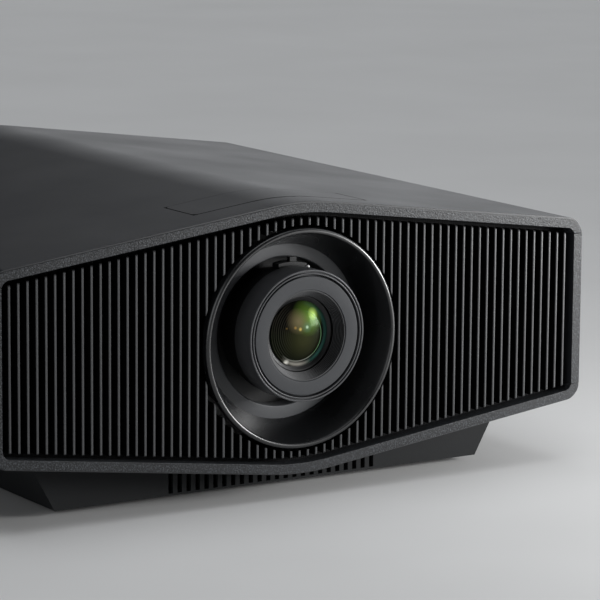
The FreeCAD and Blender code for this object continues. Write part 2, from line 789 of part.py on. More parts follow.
wheel_x, wheel_z = 34, 98


def make_light_source():
    """Laser banks, the coated wheel they light, the finned cooler and its pipes."""
    block = box((-55, 55), (34, 112), (60, 130))
    motor = rod("y", (wheel_x, wheel_z), 11, 30, 34)
    legs = [box((x, x + 14), (y, y + 14), (case_floor_at(55), 60)) for x in (-55, 41) for y in (34, 98)]
    keep("laser_module", fuse(block, motor, *legs))
    disc = rod("y", (wheel_x, wheel_z), 32, 24, 25.5)
    hub = rod("y", (wheel_x, wheel_z), 9, 22, 29.7)
    weight = rod("y", (wheel_x + 20, wheel_z), 3, 25.5, 27)
    keep("phosphor_wheel", fuse(disc, hub, weight))
    pipes_x = (-36, -12, 12, 36)
    base_plate = box((-60, 60), (122, 126), (60, 150))
    fins = [box((-60, 60), (129 + 4.2 * number, 130.2 + 4.2 * number), (60, 150)) for number in range(16)]
    spine = box((-60, 60), (122, 194), (60, 64))
    drills = [rod("y", (x, 134), 4, 118, 198) for x in pipes_x]
    keep("laser_heatsink", cut(fuse(base_plate, spine, *fins), *drills))
    keep("heat_pipes", group(*[rod("y", (x, 134), 4, 44, 196) for x in pipes_x]))


def make_fans():
    """Two axial fans behind the grille that blow the warm air out at the front."""
    low = front + 34
    high = low + d["fan_depth"]
    axis_z = d["rim_z"] + 1
    half = d["fan_side"] / 2
    housings = []
    for side, label in ((-1, "left_fan_rotor"), (1, "right_fan_rotor")):
        x = d["fan_x"] * side
        centre = (x, axis_z)
        frame = cut(box((x - half, x + half), (low, high), (axis_z - half, axis_z + half)),
                    rod("y", centre, half - 2, low - 1, high + 1))
        motor = rod("y", centre, 18, high - 3, high)
        struts = [box((x - 1.5, x + 1.5), (high - 3, high), (axis_z - half, axis_z + half)),
                  box((x - half, x + half), (high - 3, high), (axis_z - 1.5, axis_z + 1.5))]
        reach = d["fan_x"] + half
        legs = [box((x - half, x - half + 8), (low, high), (case_floor_at(reach), axis_z - half)),
                box((x + half - 8, x + half), (low, high), (case_floor_at(reach), axis_z - half))]
        housings.append(fuse(frame, motor, *struts, *legs))
        keep(label, fan_rotor(x, axis_z, low + 2, high - 4, half - 3))
    keep("fan_housings", group(*housings))


def fan_rotor(x, z, low, high, reach):
    """A hub with seven pitched blades, trimmed to the swept circle."""
    hub = rod("y", (x, z), 18, low, high)
    blades = []
    count = 7
    for number in range(count):
        blade = doc.addObject("Part::Box", "Blade")
        bind(blade, "Length", 26)
        bind(blade, "Width", 1.6)
        bind(blade, "Height", 60)
        pitch = FreeCAD.Rotation(FreeCAD.Vector(0, 0, 1), 42)
        spin = FreeCAD.Rotation(FreeCAD.Vector(0, 1, 0), 360 * number / count)
        corner = spin.multVec(pitch.multVec(FreeCAD.Vector(-13, -0.8, 0)))
        blade.Placement = FreeCAD.Placement(FreeCAD.Vector(), spin * pitch)
        place(blade, x + corner.x, (low + high) / 2 + corner.y, z + corner.z)
        blades.append(blade)
    swept = rod("y", (x, z), reach, low, high)
    return common(fuse(hub, *blades), swept)


# ---------------------------------------------------------------- boards, sockets, controls


def make_boards():
    """Power supply on the right, signal board on the left, with their larger components."""
    bottom = 52
    board = box((96, 214), (20, 196), (bottom, bottom + 1.6))
    legs = [rod("z", (x, y), 4, case_floor_at(x + 4), bottom) for x in (104, 200) for y in (30, 186)]
    top = bottom + 1.6
    tall = [box((104, 144), (36, 80), (top, top + 34)), box((108, 148), (96, 136), (top, top + 30)),
            box((168, 172), (40, 120), (top, top + 40)), box((186, 206), (130, 176), (top, top + 18))]
    cans = [rod("z", (120 + 24 * number, 160), 10, top, top + 32) for number in range(3)]
    keep("power_board", fuse(board, *legs, *tall, *cans))
    low = 68
    board = box((-221, -100), (-76, 196), (low, low + 1.6))
    legs = [rod("z", (-x, y), 4, case_floor_at(x + 4), low) for x in (108, 200) for y in (-66, 186)]
    top = low + 1.6
    chips = [box((-170, -130), (-20, 20), (top, top + 3)), box((-160, -136), (60, 84), (top, top + 2)),
             box((-160, -136), (100, 124), (top, top + 2)), box((-126, -106), (130, 170), (top, top + 12))]
    fins = [box((-170, -130), (-20 + 5 * number, -18 + 5 * number), (top + 3, top + 18))
            for number in range(8)]
    keep("main_board", fuse(board, *legs, *chips, *fins))


# Sockets along the terminal plate: centre along Y, mouth width and height, height of the centre.
SOCKETS = [(-54, 15, 5.2, 84), (-30, 15, 5.2, 84), (-4, 12.6, 9, 84), (20, 8.6, 8.2, 84),
           (48, 18, 9, 84)]
JACKS = [(-54, 108), (-40, 108), (-26, 108)]
inlet_y, inlet_z = 70, 104


def make_terminals():
    """Terminal plate with sockets behind it; every mouth is open to the side."""
    outer_x = -half_width + 1.2
    x = (outer_x, outer_x + 1.5)
    plate = box(x, terminals_y, terminals_z)
    shells = []
    holes = []
    for y, width, height, z in SOCKETS:
        outside = box((outer_x + 0.4, outer_x + 16), (y - width / 2 - 1, y + width / 2 + 1),
                      (z - height / 2 - 1, z + height / 2 + 1))
        mouth = box((outer_x - 1, outer_x + 13), (y - width / 2, y + width / 2),
                    (z - height / 2, z + height / 2))
        shells.append(cut(outside, mouth))
        holes.append(box((outer_x - 1, outer_x + 3), (y - width / 2 - 1, y + width / 2 + 1),
                         (z - height / 2 - 1, z + height / 2 + 1)))
    for y, z in JACKS:
        shells.append(cut(rod("x", (y, z), 4, outer_x - 0.6, outer_x + 14),
                          rod("x", (y, z), 1.8, outer_x - 1, outer_x + 12)))
        holes.append(rod("x", (y, z), 4.1, outer_x - 1, outer_x + 3))
    width, height = 27, 20
    body = box((outer_x - 0.8, outer_x + 22), (inlet_y - width / 2, inlet_y + width / 2),
               (inlet_z - height / 2, inlet_z + height / 2))
    mouth = box((outer_x - 2, outer_x + 16), (inlet_y - 12, inlet_y + 12), (inlet_z - 8, inlet_z + 8))
    pins = [box((outer_x + 4, outer_x + 18), (inlet_y - 1 + 7 * n, inlet_y + 1 + 7 * n),
                (inlet_z - 2, inlet_z + 2)) for n in (-1, 0, 1)]
    keep("power_inlet", fuse(cut(body, mouth), *pins))
    holes.append(box((outer_x - 1, outer_x + 3), (inlet_y - width / 2, inlet_y + width / 2),
                     (inlet_z - height / 2, inlet_z + height / 2)))
    keep("terminal_plate", cut(plate, *holes))
    keep("terminal_sockets", group(*shells))


def make_controls():
    outer_x = -half_width
    for label, y in buttons_y.items():
        cap = rod("x", (y, buttons_z), button_radius, outer_x, outer_x + 5)
        collar = rod("x", (y, buttons_z), button_radius + 1, outer_x + wall + 0.2, outer_x + 4.5)
        keep(label, fuse(cap, collar))
    centre = (stick_y, buttons_z)
    knob = rod("x", centre, 8, outer_x, outer_x + 2.6)
    dish = rod("x", centre, 5.4, outer_x - 1, outer_x + 0.8)
    stem = rod("x", centre, 2.6, outer_x + 2.6, stick_x + 3)
    cross_pin = rod("y", (stick_x, buttons_z), stick_pin, stick_y - 6.8, stick_y + 6.8)
    keep("joystick_knob", fuse(cut(knob, dish), stem, cross_pin))
    ring = rod("x", centre, 7, stick_x - 2, stick_x + 2)
    upright_pin = rod("z", (stick_x, stick_y), stick_pin, buttons_z - 12.5, buttons_z + 12.5)
    eye = rod("x", centre, 3.6, stick_x - 4, stick_x + 4)
    bore = rod("y", (stick_x, buttons_z), stick_pin + running, stick_y - 10, stick_y + 10)
    keep("joystick_gimbal", cut(fuse(ring, upright_pin), eye, bore))


# ---------------------------------------------------------------- feet and screws


def make_feet():
    floor = d["base_z"]
    radius = d["foot_radius"]
    for side, word in ((-1, "left"), (1, "right")):
        centre = (d["foot_x"] * side, foot_y)
        sole = rod("z", centre, radius - 2, 0, 1.6)
        stud = rod("z", centre, foot_stud, 1.6, floor + 26)
        keep(f"{word}_foot_stud", fuse(sole, stud))
        wheel = rod("z", centre, radius, 1.7, floor + 6)
        grips = ring_of_rods(centre, radius + 0.3, 1, 24, 0, 20)
        bore = rod("z", centre, foot_stud + running, 0, 20)
        keep(f"{word}_foot_wheel", cut(wheel, bore, *grips))
    pads = [rod("z", (d["foot_x"] * side, rear - 40), 12, 0, floor) for side in (-1, 1)]
    keep("rear_feet", group(*pads))


def make_screws():
    """Screws that hold the base tray to the lower case, heads in the tray's underside."""
    floor = d["base_z"]
    screws = []
    for x in (-150, 0, 150):
        for y in (base_front + 20, rear - 22):
            head = rod("z", (x, y), 3.2, floor - 0.9, floor)
            slot = box((x - 2.2, x + 2.2), (y - 0.4, y + 0.4), (floor - 1.5, floor - 0.5))
            cross = box((x - 0.4, x + 0.4), (y - 2.2, y + 2.2), (floor - 1.5, floor - 0.5))
            screws.append(cut(head, slot, cross))
    keep("base_screws", group(*screws))


def check_and_write():
    doc.recompute()
    for item in doc.Objects:
        if "Invalid" in item.State or "Error" in item.State:
            raise RuntimeError(f"{item.Name} ({item.Label}) failed: {item.State}")
    for label, item in parts.items():
        if item.Shape.isNull() or not item.Shape.isValid():
            raise RuntimeError(f"{label} has no valid shape")
    os.makedirs("parts", exist_ok=True)
    for label, item in parts.items():
        item.Shape.exportStep(f"parts/{label}.step")


make_casing()
make_rear_panel()
make_base()
make_grille()
make_grille_screen()
make_lens_surround()
make_light_shield()
make_lens()
make_shift_frames()
make_dials()
make_lid()
make_optics()
make_light_source()
make_fans()
make_boards()
make_terminals()
make_controls()
make_feet()
make_screws()
check_and_write()
print(f"{len(parts)} sub-parts written")
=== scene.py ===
import math

import bmesh
import bpy
from mathutils import Matrix, Vector


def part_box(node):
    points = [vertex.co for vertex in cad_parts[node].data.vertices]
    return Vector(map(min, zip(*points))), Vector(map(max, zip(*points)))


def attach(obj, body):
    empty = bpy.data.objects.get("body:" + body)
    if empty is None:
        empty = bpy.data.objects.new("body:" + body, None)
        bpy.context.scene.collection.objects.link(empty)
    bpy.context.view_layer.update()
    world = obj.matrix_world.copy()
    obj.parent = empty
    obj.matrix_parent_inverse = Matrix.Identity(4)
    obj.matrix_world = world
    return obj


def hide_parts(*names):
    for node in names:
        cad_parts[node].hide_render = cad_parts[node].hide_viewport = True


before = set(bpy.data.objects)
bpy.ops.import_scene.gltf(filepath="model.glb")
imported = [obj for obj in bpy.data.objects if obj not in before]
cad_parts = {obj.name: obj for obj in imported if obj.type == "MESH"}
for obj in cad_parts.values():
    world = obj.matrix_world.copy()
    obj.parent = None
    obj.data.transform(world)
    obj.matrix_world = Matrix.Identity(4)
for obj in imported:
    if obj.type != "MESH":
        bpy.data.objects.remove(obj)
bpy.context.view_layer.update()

# Home cinema projector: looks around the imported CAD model.  Metres, +Z up, lens side facing -Y.

MM = 0.001
SEGMENTS = 160
AMBIENT = 0.01
# Soft patches of sky: azimuth, elevation, full inside, nothing beyond (degrees), strength.
# Azimuth 0 is behind the object and grows towards its right as the camera sees it.
SKY = (
    (0, 90, 8, 35, 1.9),
    (42, 1, 8, 24, 1.12),
    (90, 30, 5, 40, 1.5),
    (-120, 12, 8, 35, 1.5),
)
# Lamps at the right front: place, size, watts.
LAMPS = (
    ((1.02, -1.30, 0.36), (0.8, 0.6), 3),
    ((0.85, -0.75, 0.22), (0.35, 0.25), 11.5),
)
# Painted ghost reflections in the front lens: mm right of its axis, mm above it, reach in mm, colour.
PAINTED_GHOST_REFLECTIONS = (
    (-11.7, 4.9, 0.9, (0.16, 0.10, 0.03)),
    (-5.6, 5.0, 1.3, (0.34, 0.21, 0.06)),
    (-2.0, 3.8, 1.5, (0.60, 0.44, 0.12)),
    (3.4, 4.8, 4.2, (0.09, 0.15, 0.08)),
    (3.4, 4.8, 1.4, (0.50, 0.66, 0.45)),
)
scene = bpy.context.scene


# ---------------------------------------------------------------- places taken from the frame

def middle(node):
    low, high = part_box(node)
    return (low + high) / 2


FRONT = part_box("left_side_panel")[0].y
SLAT_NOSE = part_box("front_grille")[0].y
LENS_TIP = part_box("focus_ring")[0].y
LENS_Z = middle("focus_ring").z
SHIELD_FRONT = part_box("light_shield_ring")[0].y
SHIELD_Z = middle("light_shield_ring").z
# The rolled rim of the lens recess, a little below the middle of the shield.
RIM_Z = SHIELD_Z - 1.2 * MM
RIM_RADIUS = 74.2 * MM
# The roof falls away at this slope either side of a rounded ridge.
RIDGE_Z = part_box("top_cover")[1].z
ROOF_SLOPE = 0.13
RIDGE_ROUND = 180 * MM
# A white ball above the lens, standing for the highlight on the end of the zoom lever: a painted highlight.
HIGHLIGHT_BALL_PLACE = Vector((13.6 * MM, FRONT + 15.2 * MM, 153.3 * MM))
HIGHLIGHT_BALL_RADIUS = 1.3 * MM
# The baffle in front of the glass, mm: radius at its front, and each step inwards and back.
BAFFLE_RADIUS, BAFFLE_RISE, BAFFLE_TREAD = 30.2, 0.5, 0.9


# ---------------------------------------------------------------- camera

def make_camera():
    """Long lens from the left front, a little above the object."""
    target = Vector((-0.00198, FRONT, 0.13453))
    distance = 2.25602
    yaw, pitch, roll = (math.radians(angle) for angle in (32.346, 10.028, 0.4315))
    forward = Vector((math.sin(yaw) * math.cos(pitch), math.cos(yaw) * math.cos(pitch),
                      -math.sin(pitch)))
    level = Vector((math.cos(yaw), -math.sin(yaw), 0))
    upright = level.cross(forward)
    right = level * math.cos(roll) + upright * math.sin(roll)
    up = upright * math.cos(roll) - level * math.sin(roll)
    data = bpy.data.cameras.new("camera")
    data.sensor_width = 36
    data.lens = 204.57
    data.clip_end = 50
    camera = bpy.data.objects.new("camera", data)
    rotation = Matrix((right, up, -forward)).transposed().to_4x4()
    camera.matrix_world = Matrix.Translation(target - forward * distance) @ rotation
    scene.collection.objects.link(camera)
    scene.camera = camera


# ---------------------------------------------------------------- material building

class Finish:
    """A Principled material with short ways to add the nodes that these finishes share."""

    def __init__(self, name, **sockets):
        self.material = bpy.data.materials.new(name)
        self.material.use_nodes = True
        self.tree = self.material.node_tree
        self.shader = self.tree.nodes["Principled BSDF"]
        self.place = self.add("ShaderNodeTexCoord").outputs["Object"]
        for socket, value in sockets.items():
            self.shader.inputs[socket.replace("_", " ")].default_value = value

    def add(self, kind, **inputs):
        node = self.tree.nodes.new(kind)
        for socket, value in inputs.items():
            node.inputs[socket.replace("_", " ")].default_value = value
        return node

    def link(self, output, target):
        self.tree.links.new(output, target)

    def noise(self, scale, detail=2.0, stretch=None):
        """Noise over the object, with an optional stretch along X, Y and Z."""
        place = self.place
        if stretch:
            mapping = self.add("ShaderNodeMapping")
            mapping.inputs["Scale"].default_value = stretch
            self.link(place, mapping.inputs["Vector"])
            place = mapping.outputs["Vector"]
        node = self.add("ShaderNodeTexNoise", Scale=scale, Detail=detail)
        self.link(place, node.inputs["Vector"])
        return node.outputs["Fac"]

    def span(self, value, low, high, from_low=0.3, from_high=0.7):
        """Maps a value to another range."""
        node = self.tree.nodes.new("ShaderNodeMapRange")
        for socket, number in (("From Min", from_low), ("From Max", from_high), ("To Min", low),
                               ("To Max", high)):
            node.inputs[socket].default_value = number
        self.link(value, node.inputs["Value"])
        return node.outputs["Result"]

    def mix(self, factor, first, second):
        """Blends two colours, each a tuple or another node's output."""
        node = self.tree.nodes.new("ShaderNodeMix")
        node.data_type = "RGBA"
        self.link(factor, node.inputs["Factor"])
        for socket, colour in ((node.inputs[6], first), (node.inputs[7], second)):
            if isinstance(colour, tuple):
                socket.default_value = (*colour, 1)
            else:
                self.link(colour, socket)
        return node.outputs[2]

    def colour(self, output):
        self.link(output, self.shader.inputs["Base Color"])

    def rough(self, output):
        self.link(output, self.shader.inputs["Roughness"])

    def bump(self, height, distance, strength=1.0, below=None):
        """Relief on the shader, laid over an earlier relief if one is given."""
        node = self.add("ShaderNodeBump", Strength=strength, Distance=distance)
        self.link(height, node.inputs["Height"])
        if below:
            self.link(below, node.inputs["Normal"])
        self.link(node.outputs["Normal"], self.shader.inputs["Normal"])
        return node.outputs["Normal"]

    def along(self, axis):
        """One coordinate of the place, in metres."""
        node = self.tree.nodes.new("ShaderNodeSeparateXYZ")
        self.link(self.place, node.inputs["Vector"])
        return node.outputs[axis]

    def compute(self, operation, first, second=None):
        """One step of arithmetic on node outputs or plain numbers."""
        node = self.tree.nodes.new("ShaderNodeMath")
        node.operation = operation
        for socket, value in zip(node.inputs, (first, second)):
            if isinstance(value, (int, float)):
                socket.default_value = value
            elif value:
                self.link(value, socket)
        return node.outputs["Value"]

    def distance(self, x, z):
        """Distance in the plane across the lens axis from a point given in mm beside that axis."""
        side = self.compute("SUBTRACT", self.along("X"), x * MM)
        rise = self.compute("SUBTRACT", self.along("Z"), LENS_Z + z * MM)
        total = self.compute("ADD", self.compute("MULTIPLY", side, side),
                             self.compute("MULTIPLY", rise, rise))
        return self.compute("SQRT", total)

    def spot(self, x, z, core, reach):
        """1 inside the core radius, fading to 0 at the reach, all in mm."""
        return self.span(self.distance(x, z), 1, 0, core * MM, reach * MM)

    def ring(self, x, z, radius, width):
        """1 on a circle, fading to 0 at a width either side of it, all in mm."""
        off = self.compute("ABSOLUTE", self.compute("SUBTRACT", self.distance(x, z), radius * MM))
        return self.span(off, 1, 0, 0, width * MM)


def grained_plastic(name, dark, light, roughness, grain, depth, speckle=0.0, shine=0.5):
    """Moulded plastic: two grain sizes in relief, slight colour and gloss variation."""
    finish = Finish(name, Specular_IOR_Level=shine)
    fine = finish.noise(grain, 3.0)
    broad = finish.noise(14.0, 2.0)
    tone = finish.mix(finish.span(broad, 0, 1), dark, light)
    if speckle:
        fleck = finish.noise(grain * 0.9, 1.0)
        bright = tuple(channel * (1 + speckle) for channel in light)
        tone = finish.mix(finish.span(fleck, 0, 1, 0.50, 0.64), tone, bright)
    finish.colour(tone)
    finish.rough(finish.span(broad, roughness - 0.03, roughness + 0.03))
    coarse = finish.bump(finish.noise(grain * 0.5, 2.0), depth * 1.5, 0.4)
    finish.bump(fine, depth, 0.8, coarse)
    return finish.material


def slat_plastic_painted_shade():
    """Satin graphite at the nose of each slat, with painted shade falling to black towards the back."""
    finish = Finish("slat_plastic_painted_shade", Specular_IOR_Level=1.0)
    nose_back = SLAT_NOSE + 0.35 * MM
    # Painted shade: the colour falls to black behind the nose, where shade falls between the slats.
    depth = finish.span(finish.along("Y"), 0, 1, nose_back, nose_back + 0.5 * MM)
    grain = finish.noise(1500, 2.0)
    nose = finish.mix(finish.span(grain, 0, 1), (0.018, 0.019, 0.021), (0.026, 0.027, 0.030))
    finish.colour(finish.mix(depth, nose, (0.001, 0.001, 0.0012)))
    finish.link(finish.span(depth, 1.0, 0.06, 0, 1), finish.shader.inputs["Specular IOR Level"])
    finish.rough(finish.span(depth, 0.33, 0.85, 0, 1))
    finish.bump(grain, 0.02 * MM, 0.4)
    return finish.material


def dull_black(name, value, roughness):
    finish = Finish(name, Specular_IOR_Level=0.15)
    grain = finish.noise(900, 2.0)
    finish.colour(finish.mix(finish.span(grain, 0, 1), (value,) * 3, (value * 1.8,) * 3))
    finish.rough(finish.span(finish.noise(30, 1.0), roughness - 0.05, roughness + 0.05))
    finish.bump(grain, 0.05 * MM, 0.5)
    return finish.material


def perforated_black():
    """Fine black mesh: round holes in straight rows as relief and tone. The darker tone of the holes is
    painted shade.
    """
    finish = Finish("perforated_black", Specular_IOR_Level=0.1)
    cells = finish.add("ShaderNodeTexVoronoi", Scale=650.0, Randomness=0.0)
    finish.link(finish.place, cells.inputs["Vector"])
    hole = finish.span(cells.outputs["Distance"], 0, 1, 0.35, 0.45)
    # Painted shade: the holes are darker than the mesh, as the shade seen through them.
    finish.colour(finish.mix(hole, (0.001, 0.001, 0.001), (0.008, 0.008, 0.009)))
    finish.rough(finish.span(finish.noise(60, 1.0), 0.65, 0.75))
    finish.bump(hole, 0.2 * MM, 0.6)
    return finish.material


def gloss_black():
    """Polished black moulding with the faint waviness of a large moulded part."""
    finish = Finish("gloss_black", Specular_IOR_Level=0.55, Coat_Weight=0.35, Coat_Roughness=0.12)
    haze = finish.noise(22, 2.0)
    finish.colour(finish.mix(finish.span(haze, 0, 1), (0.0035, 0.0038, 0.0042),
                             (0.006, 0.0064, 0.007)))
    finish.rough(finish.span(haze, 0.24, 0.30))
    finish.bump(finish.noise(60, 1.0), 0.05 * MM, 0.15)
    return finish.material


def anodised(name, value, roughness):
    """Black anodised metal with fine turning lines round the lens axis."""
    finish = Finish(name, Metallic=0.35, Specular_IOR_Level=0.5)
    grain = finish.noise(1200, 2.0)
    dark = (value, value * 1.02, value * 1.08)
    finish.colour(finish.mix(finish.span(grain, 0, 1), dark, tuple(c * 1.25 for c in dark)))
    finish.rough(finish.span(finish.noise(80, 1.0), roughness - 0.04, roughness + 0.04))
    finish.bump(finish.noise(900, 1.0, (0.05, 1.0, 0.05)), 0.02 * MM, 0.3)
    return finish.material


def stepped_black():
    """Black baffle: the treads that face forward are painted lighter than the risers between them, as
    painted light on the treads and painted shade on the risers.
    """
    finish = Finish("stepped_black", Specular_IOR_Level=0.3)
    inward = finish.compute("SUBTRACT", BAFFLE_RADIUS * MM, finish.distance(0, 0))
    steps = finish.compute("DIVIDE", inward, BAFFLE_RISE * MM)
    lit_tread = finish.compute("ABSOLUTE", finish.compute("SUBTRACT", finish.compute("FRACT", steps), 0.5))
    # Painted light on the forward-facing treads, painted shade on the risers.
    finish.colour(finish.mix(finish.span(lit_tread, 1, 0, 0.25, 0.45), (0.002, 0.002, 0.002),
                             (0.050, 0.051, 0.054)))
    finish.rough(finish.span(finish.noise(80, 1.0), 0.40, 0.50))
    finish.bump(finish.noise(1200, 2.0), 0.02 * MM, 0.3)
    return finish.material


def matte_grey_face():
    """Bead-blasted grey front face of the lens."""
    finish = Finish("matte_grey_face", Specular_IOR_Level=0.3)
    grain = finish.noise(2200, 2.0)
    finish.colour(finish.mix(finish.span(grain, 0, 1), (0.026, 0.028, 0.031), (0.034, 0.036, 0.040)))
    finish.rough(finish.span(finish.noise(50, 1.0), 0.48, 0.56))
    finish.bump(grain, 0.03 * MM, 0.4)
    return finish.material


def cast_metal(name, value, roughness):
    finish = Finish(name, Metallic=0.85)
    grain = finish.noise(500, 3.0)
    finish.colour(finish.mix(finish.span(grain, 0, 1), (value,) * 3, (value * 1.3,) * 3))
    finish.rough(finish.span(finish.noise(60, 2.0), roughness - 0.06, roughness + 0.06))
    finish.bump(grain, 0.06 * MM, 0.4)
    return finish.material


def bright_metal(name, colour=(0.55, 0.55, 0.57), roughness=0.25):
    finish = Finish(name, Metallic=1.0)
    lines = finish.noise(700, 2.0, (1.0, 0.08, 1.0))
    finish.colour(finish.mix(finish.span(lines, 0, 1), tuple(c * 0.85 for c in colour), colour))
    finish.rough(finish.span(lines, roughness - 0.05, roughness + 0.08))
    finish.bump(lines, 0.01 * MM, 0.3)
    return finish.material


def solder_mask():
    finish = Finish("solder_mask", Coat_Weight=0.3, Coat_Roughness=0.3)
    tracks = finish.add("ShaderNodeTexVoronoi", Scale=160.0)
    finish.link(finish.place, tracks.inputs["Vector"])
    line = finish.span(tracks.outputs["Distance"], 0, 1, 0.3, 0.4)
    finish.colour(finish.mix(line, (0.008, 0.06, 0.03), (0.015, 0.10, 0.05)))
    finish.rough(finish.span(finish.noise(60, 1.0), 0.35, 0.45))
    finish.bump(line, 0.03 * MM, 0.3)
    return finish.material


def highlight_white():
    finish = Finish("highlight_white")
    grain = finish.noise(2000, 1.0)
    finish.colour(finish.mix(finish.span(grain, 0, 1), (0.80, 0.80, 0.80), (0.88, 0.88, 0.88)))
    finish.rough(finish.span(finish.noise(900, 1.0), 0.25, 0.35))
    return finish.material


def clear_glass():
    finish = Finish("clear_glass", Transmission_Weight=1.0, IOR=1.52)
    haze = finish.noise(30, 1.0)
    finish.colour(finish.mix(finish.span(haze, 0, 1), (0.93, 0.98, 0.93), (0.97, 1.0, 0.96)))
    finish.rough(finish.span(haze, 0.0, 0.02))
    return finish.material


def glass_tint_and_painted_glow(finish):
    """Olive black, with a painted glow in the middle and the fine rings of the barrel behind painted in as
    light in the left half.
    """
    # Painted glow: olive in the middle, fading to near black towards the edge.
    tone = finish.mix(finish.spot(0, -3, 3, 16), (0.003, 0.003, 0.0025), (0.026, 0.026, 0.011))
    ring_pitch = 1.35 * MM
    turns = finish.compute("MULTIPLY", finish.distance(2, 1), 2 * math.pi / ring_pitch)
    painted_ring_light = finish.compute("SINE", turns)
    # Painted light: the rings show only in the lit left half.
    left = finish.span(finish.along("X"), 1, 0, -16 * MM, -6 * MM)
    painted_ring_light = finish.compute("MULTIPLY", finish.span(painted_ring_light, 0, 1, 0.2, 1), left)
    return finish.mix(painted_ring_light, tone, (0.040, 0.036, 0.028))


def painted_glass_glows(finish, tone):
    """Painted light: teal light at the right edge, a green and an amber glow above the middle, a bright
    highlight spot and a lit curve on the right.
    """
    # Painted light only on the lit right side.
    right = finish.span(finish.along("X"), 0, 1, 2 * MM, 14 * MM)
    edge = finish.compute("MULTIPLY", finish.ring(0, 0, 20.4, 2.6), right)
    tone = finish.mix(edge, tone, (0.025, 0.075, 0.062))
    tone = finish.mix(finish.spot(5, 11, 0, 13), tone, (0.085, 0.160, 0.020))
    tone = finish.mix(finish.spot(-3, 9, 0, 9), tone, (0.150, 0.120, 0.065))
    # Painted highlight: the lamp's reflection as a bright green spot.
    tone = finish.mix(finish.spot(9.3, 12.9, 0.5, 4.6), tone, (0.42, 0.62, 0.13))
    # Painted highlight along the lit edge of the inner element.
    painted_arc_highlight = finish.compute("MULTIPLY", finish.ring(-0.9, -1.0, 16.8, 0.45), right)
    return finish.mix(painted_arc_highlight, tone, (0.10, 0.21, 0.10))


def painted_crescent_highlight(finish, tone):
    """Painted highlights: a pale crescent along the lower edge, with one bright dot at its left end."""
    # Painted highlight line and glint along the lit lower edge.
    low = finish.span(finish.along("Z"), 1, 0, LENS_Z - 19 * MM, LENS_Z - 13 * MM)
    line = finish.compute("MULTIPLY", finish.ring(-1.5, -1.0, 17.2, 0.5), low)
    tone = finish.mix(line, tone, (0.34, 0.34, 0.30))
    crescent = finish.compute("MULTIPLY", finish.ring(0, 0, 20.6, 2.0), finish.spot(-3, -20, 3, 12))
    tone = finish.mix(crescent, tone, (0.30, 0.285, 0.25))
    return finish.mix(finish.spot(-10.2, -18.6, 0.4, 2.4), tone, (0.80, 0.78, 0.70))


def coated_glass_painted_light():
    """Deep coated front element, painted with the glows and reflections that its coatings and inner lenses
    would show: painted light.
    """
    finish = Finish("coated_glass_painted_light", Specular_IOR_Level=0.06, Coat_Weight=0.02, Coat_Roughness=0.03)
    finish.shader.inputs["Specular Tint"].default_value = (0.45, 1.0, 0.25, 1)
    tone = glass_tint_and_painted_glow(finish)
    tone = painted_glass_glows(finish, tone)
    tone = painted_crescent_highlight(finish, tone)
    # Painted ghost reflections as soft spots of colour.
    for x, z, reach, colour in PAINTED_GHOST_REFLECTIONS:
        tone = finish.mix(finish.spot(x, z, 0, reach), tone, colour)
    finish.colour(tone)
    finish.rough(finish.span(finish.noise(40, 1.0), 0.16, 0.20))
    return finish.material


# ---------------------------------------------------------------- mesh building

def new_piece(name, mesh, material):
    mesh.materials.clear()
    mesh.materials.append(material)
    piece = bpy.data.objects.new(name, mesh)
    scene.collection.objects.link(piece)
    return piece


def shade(mesh, angle=35):
    """Smooth shading with sharp edges above an angle."""
    mesh.shade_smooth()
    mesh.set_sharp_from_angle(angle=math.radians(angle))


def joined_smooth(build):
    """Runs one mesh builder in a bmesh and returns its mesh, with normals facing out."""
    form = bmesh.new()
    build(form)
    bmesh.ops.recalc_face_normals(form, faces=form.faces)
    mesh = bpy.data.meshes.new("mesh")
    form.to_mesh(mesh)
    form.free()
    shade(mesh)
    return mesh


def rounded(profile, radius, steps=4):
    """A closed profile with each corner replaced by a short curve."""
    points = []
    count = len(profile)
    for index, corner in enumerate(profile):
        corner = Vector(corner)
        ends = []
        for neighbour in (profile[index - 1], profile[(index + 1) % count]):
            way = Vector(neighbour) - corner
            ends.append(corner + way.normalized() * min(radius, 0.4 * way.length))
        for step in range(steps + 1):
            t = step / steps
            points.append(ends[0] * (1 - t) ** 2 + corner * 2 * t * (1 - t) + ends[1] * t ** 2)
    return points


def lathe(form, profile, centre, drift=0.0):
    """Turns a closed profile of (y, radius) round an axis along Y that rises by drift per metre."""
    rings = []
    start = centre[1]
    for number in range(SEGMENTS):
        angle = 2 * math.pi * number / SEGMENTS
        ring = []
        for y, radius in profile:
            rise = drift * (y - start)
            ring.append(form.verts.new((centre[0] + radius * math.cos(angle), y,
                                        centre[2] + rise + radius * math.sin(angle))))
        rings.append(ring)
    count = len(profile)
    for number in range(SEGMENTS):
        here, there = rings[number], rings[(number + 1) % SEGMENTS]
        for index in range(count):
            after = (index + 1) % count
            form.faces.new((here[index], here[after], there[after], there[index]))


def turned(name, profile, material, body, replaced=(), radius=0.25, centre=None, drift=0.0, steps=4):
    """A turned ring from (mm behind the lens tip, mm radius) points, rounded at its corners."""
    centre = centre or (0, LENS_TIP, LENS_Z)
    outline = rounded([(LENS_TIP + y * MM, r * MM) for y, r in profile], radius * MM, steps)
    mesh = joined_smooth(lambda form: lathe(form, outline, centre, drift=drift))
    piece = new_piece(name, mesh, material)
    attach(piece, body)
    if replaced:
        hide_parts(*replaced)
    return piece


def apply_modifiers(piece):
    evaluated = piece.evaluated_get(bpy.context.evaluated_depsgraph_get())
    result = bpy.data.meshes.new_from_object(evaluated)
    piece.modifiers.clear()
    piece.data = result


